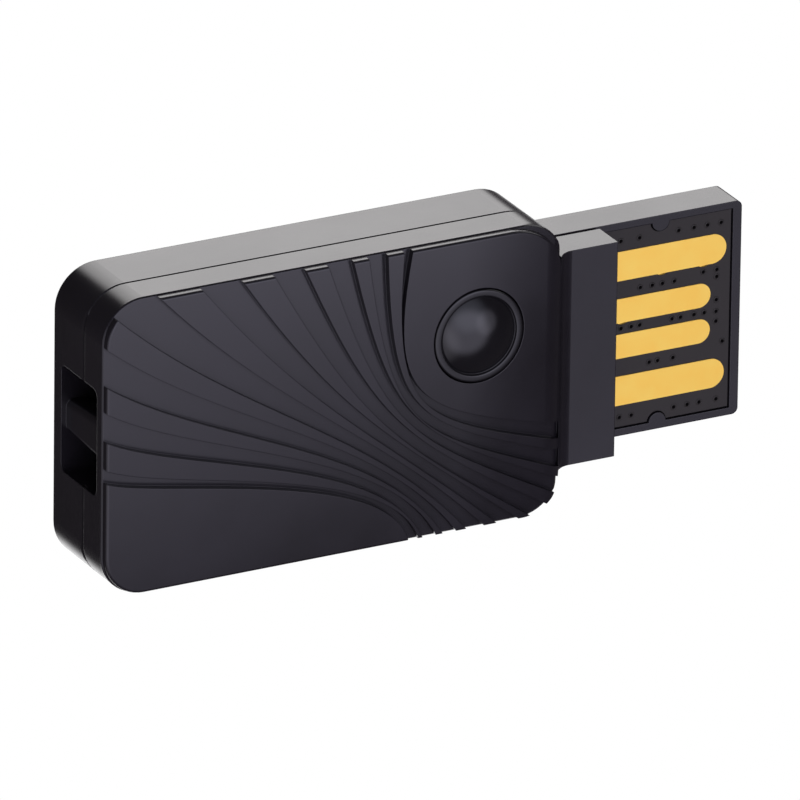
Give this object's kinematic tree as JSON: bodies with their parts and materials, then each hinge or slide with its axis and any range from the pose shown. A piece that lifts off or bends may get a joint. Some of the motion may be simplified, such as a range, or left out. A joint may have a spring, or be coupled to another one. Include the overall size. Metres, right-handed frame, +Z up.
{
  "type": "wireless usb stick",
  "caption": "Short wireless USB stick: flat black case with fanned ribs, domed pairing button, strap bar and an open plug board under a bridging collar.",
  "frame": {"origin": "centre of the footprint on the lower long side that the stick stands on", "axes": "+X along the stick to the plug's tip, +Y from the ribbed face to the plain back, +Z up across the width"},
  "size_m": [0.0384, 0.0064, 0.0163],
  "materials": {
    "case": "semi-gloss black moulding",
    "board": "dark solder mask on glass-fibre board",
    "gold": "flat gold plating",
    "steel": "bright sheet steel",
    "switch": "matt moulding",
    "chip": "matt epoxy",
    "ceramic": "fired ceramic",
    "ferrite": "matt ferrite"
  },
  "bodies": {
    "case": {"front_shell": "case", "back_shell": "case", "circuit_board": "board", "contact_power": "gold", "contact_data_minus": "gold", "contact_data_plus": "gold", "contact_ground": "gold", "switch_body": "switch", "switch_cover": "steel", "radio_chip": "chip", "memory_chip": "chip", "crystal": "steel", "chip_antenna": "ceramic", "antenna_filter": "ceramic", "power_inductor": "ferrite", "voltage_regulator": "chip", "surge_diode": "chip", "capacitors": "ceramic", "resistors": "chip"},
    "button": {"pairing_button": "case", "switch_plunger": "switch"}
  },
  "joints": [
    {"name": "button_press", "type": "slide", "parent": "case", "child": "button", "axis": [0, 1, 0], "range_m": [0, 0.00025], "stiffness_N_per_m": 2000, "springref_m": -0.0001}
  ]
}
